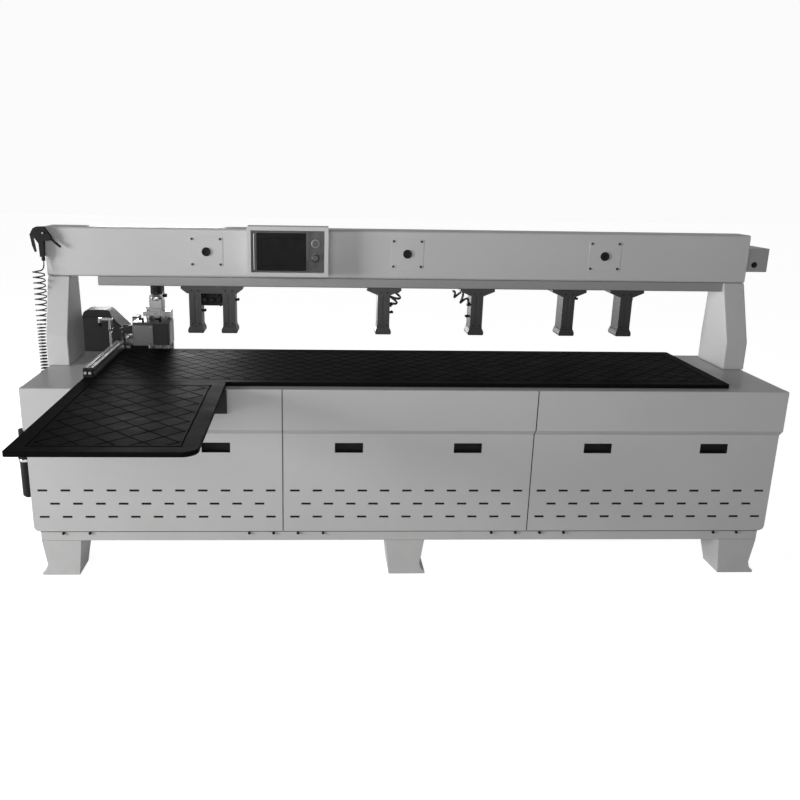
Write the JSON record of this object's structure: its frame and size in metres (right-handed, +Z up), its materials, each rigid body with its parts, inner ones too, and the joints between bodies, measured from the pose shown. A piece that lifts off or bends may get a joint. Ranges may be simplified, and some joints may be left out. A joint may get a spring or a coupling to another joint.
{
  "type": "cnc side hole drilling machine",
  "caption": "Long cabinet machine that drills the edges of panels: feed table with extension, bridge beam with press feet and control box, and a travelling drill head behind the table.",
  "frame": {"origin": "middle of the machine's box without the hose, on the floor under the feet", "axes": "+X along the machine to the right as the operator stands, +Y from the operator to the rear, +Z up"},
  "size_m": [3.6483, 1.972, 1.565],
  "materials": {
    "cabinet_paint": "semi-gloss powder coat",
    "zinc_plate": "zinc plated",
    "board_laminate": "matt phenolic board",
    "black_steel": "satin black paint",
    "motor_black": "black motor paint",
    "dark_anodised": "dark anodised",
    "grey_anodised": "grey anodised",
    "bare_aluminium": "clear anodised",
    "ground_steel": "ground and oiled",
    "polished_metal": "bright polished",
    "screen_plastic": "glossy touch panel",
    "button_plastic": "glossy moulded",
    "black_plastic": "fine moulded grain",
    "hose_rubber": "smooth flexible hose"
  },
  "bodies": {
    "machine_base": {"leg_frame_left": "cabinet_paint", "leg_frame_middle": "cabinet_paint", "leg_frame_right": "cabinet_paint", "base_rail_front": "cabinet_paint", "base_rail_rear": "cabinet_paint", "upright_frame_left": "cabinet_paint", "upright_frame_middle": "cabinet_paint", "upright_frame_right": "cabinet_paint", "front_cover_left": "cabinet_paint", "front_cover_middle": "cabinet_paint", "front_cover_right": "cabinet_paint", "side_cover_left": "cabinet_paint", "side_cover_right": "cabinet_paint", "rear_cover_left": "cabinet_paint", "rear_cover_right": "cabinet_paint", "electrical_panel": "zinc_plate", "deck": "cabinet_paint", "table_board": "board_laminate", "extension_board": "board_laminate", "extension_frame": "black_steel", "side_fence": "bare_aluminium", "column_left": "cabinet_paint", "column_right": "cabinet_paint", "beam": "cabinet_paint", "press_rail": "cabinet_paint", "press_body_pair": "dark_anodised", "press_body_3": "dark_anodised", "press_body_4": "dark_anodised", "press_body_5": "dark_anodised", "press_body_6": "dark_anodised", "control_box": "cabinet_paint", "touch_screen": "screen_plastic", "cable_trunk": "cabinet_paint", "axis_girder": "cabinet_paint", "gear_rack": "ground_steel", "air_filter": "black_plastic", "air_hose": "hose_rubber", "blow_gun": "black_plastic"},
    "electrical_door": {"electrical_door": "cabinet_paint"},
    "carriage": {"carriage_plate": "bare_aluminium", "drive_motor": "motor_black", "motor_hood": "black_steel", "lift_column": "ground_steel", "lift_motor": "polished_metal"},
    "drive_pinion": {"drive_pinion": "ground_steel"},
    "lift_screw": {"lift_screw": "ground_steel"},
    "lift_housing": {"lift_housing": "grey_anodised"},
    "drill_unit": {"drill_unit": "ground_steel"},
    "drill_chuck": {"drill_chuck": "ground_steel"},
    "press_foot_1": {"press_foot_1": "dark_anodised"},
    "press_foot_2": {"press_foot_2": "dark_anodised"},
    "press_foot_3": {"press_foot_3": "dark_anodised"},
    "press_foot_4": {"press_foot_4": "dark_anodised"},
    "press_foot_5": {"press_foot_5": "dark_anodised"},
    "press_foot_6": {"press_foot_6": "dark_anodised"},
    "stop_pin": {"stop_pin": "polished_metal"},
    "start_button": {"start_button": "button_plastic"},
    "emergency_stop": {"emergency_stop": "button_plastic"},
    "gun_trigger": {"gun_trigger": "black_plastic"},
    "regulator_knob": {"regulator_knob": "black_plastic"}
  },
  "joints": [
    {"name": "carriage_travel", "type": "slide", "parent": "machine_base", "child": "carriage", "axis": [1, 0, 0], "range_m": [0, 2.75]},
    {"name": "pinion_spin", "type": "hinge", "parent": "carriage", "child": "drive_pinion", "pos_m": [-1.60108, 0.9198, 0.744], "axis": [0, 0, 1], "continuous": true},
    {"name": "lift_travel", "type": "slide", "parent": "carriage", "child": "lift_housing", "axis": [0, 0, 1], "range_m": [-0.038, 0.02]},
    {"name": "lift_screw_spin", "type": "hinge", "parent": "carriage", "child": "lift_screw", "pos_m": [-1.31608, 0.78, 0.97], "axis": [0, 0, 1], "continuous": true},
    {"name": "drill_feed", "type": "slide", "parent": "lift_housing", "child": "drill_unit", "axis": [0, -1, 0], "range_m": [0, 0.05]},
    {"name": "chuck_spin", "type": "hinge", "parent": "drill_unit", "child": "drill_chuck", "pos_m": [-1.46108, 0.69, 0.965], "axis": [0, 1, 0], "continuous": true},
    {"name": "press_1_stroke", "type": "slide", "parent": "machine_base", "child": "press_foot_1", "axis": [0, 0, -1], "range_m": [0, 0.115]},
    {"name": "press_2_stroke", "type": "slide", "parent": "machine_base", "child": "press_foot_2", "axis": [0, 0, -1], "range_m": [0, 0.115]},
    {"name": "press_3_stroke", "type": "slide", "parent": "machine_base", "child": "press_foot_3", "axis": [0, 0, -1], "range_m": [0, 0.115]},
    {"name": "press_4_stroke", "type": "slide", "parent": "machine_base", "child": "press_foot_4", "axis": [0, 0, -1], "range_m": [0, 0.115]},
    {"name": "press_5_stroke", "type": "slide", "parent": "machine_base", "child": "press_foot_5", "axis": [0, 0, -1], "range_m": [0, 0.115]},
    {"name": "press_6_stroke", "type": "slide", "parent": "machine_base", "child": "press_foot_6", "axis": [0, 0, -1], "range_m": [0, 0.115]},
    {"name": "stop_pin_travel", "type": "slide", "parent": "machine_base", "child": "stop_pin", "axis": [0, 0, -1], "range_m": [0, 0.1]},
    {"name": "start_button_press", "type": "slide", "parent": "machine_base", "child": "start_button", "axis": [0, 1, 0], "range_m": [0, 0.004], "stiffness_N_per_m": 400, "springref_m": -0.002},
    {"name": "emergency_stop_press", "type": "slide", "parent": "machine_base", "child": "emergency_stop", "axis": [0, 1, 0], "range_m": [0, 0.006], "stiffness_N_per_m": 500, "springref_m": -0.002},
    {"name": "gun_trigger_pull", "type": "hinge", "parent": "machine_base", "child": "gun_trigger", "pos_m": [-1.80738, 0.405, 1.5087], "axis": [0, -1, 0], "range_deg": [0, 8], "stiffness_Nm_per_rad": 0.5, "springref_deg": -5.73},
    {"name": "regulator_knob_turn", "type": "hinge", "parent": "machine_base", "child": "regulator_knob", "pos_m": [-1.79438, 0.01, 0.65], "axis": [0, 0, 1], "continuous": true},
    {"name": "electrical_door_swing", "type": "hinge", "parent": "machine_base", "child": "electrical_door", "pos_m": [0.05092, 0.646, 0.444], "axis": [0, 0, 1], "range_deg": [0, 110]}
  ],
  "couplings": [
    {"joint": "pinion_spin", "follows": "carriage_travel", "rad_per_m": -20.833},
    {"joint": "lift_screw_spin", "follows": "lift_travel", "rad_per_m": -628.32}
  ]
}
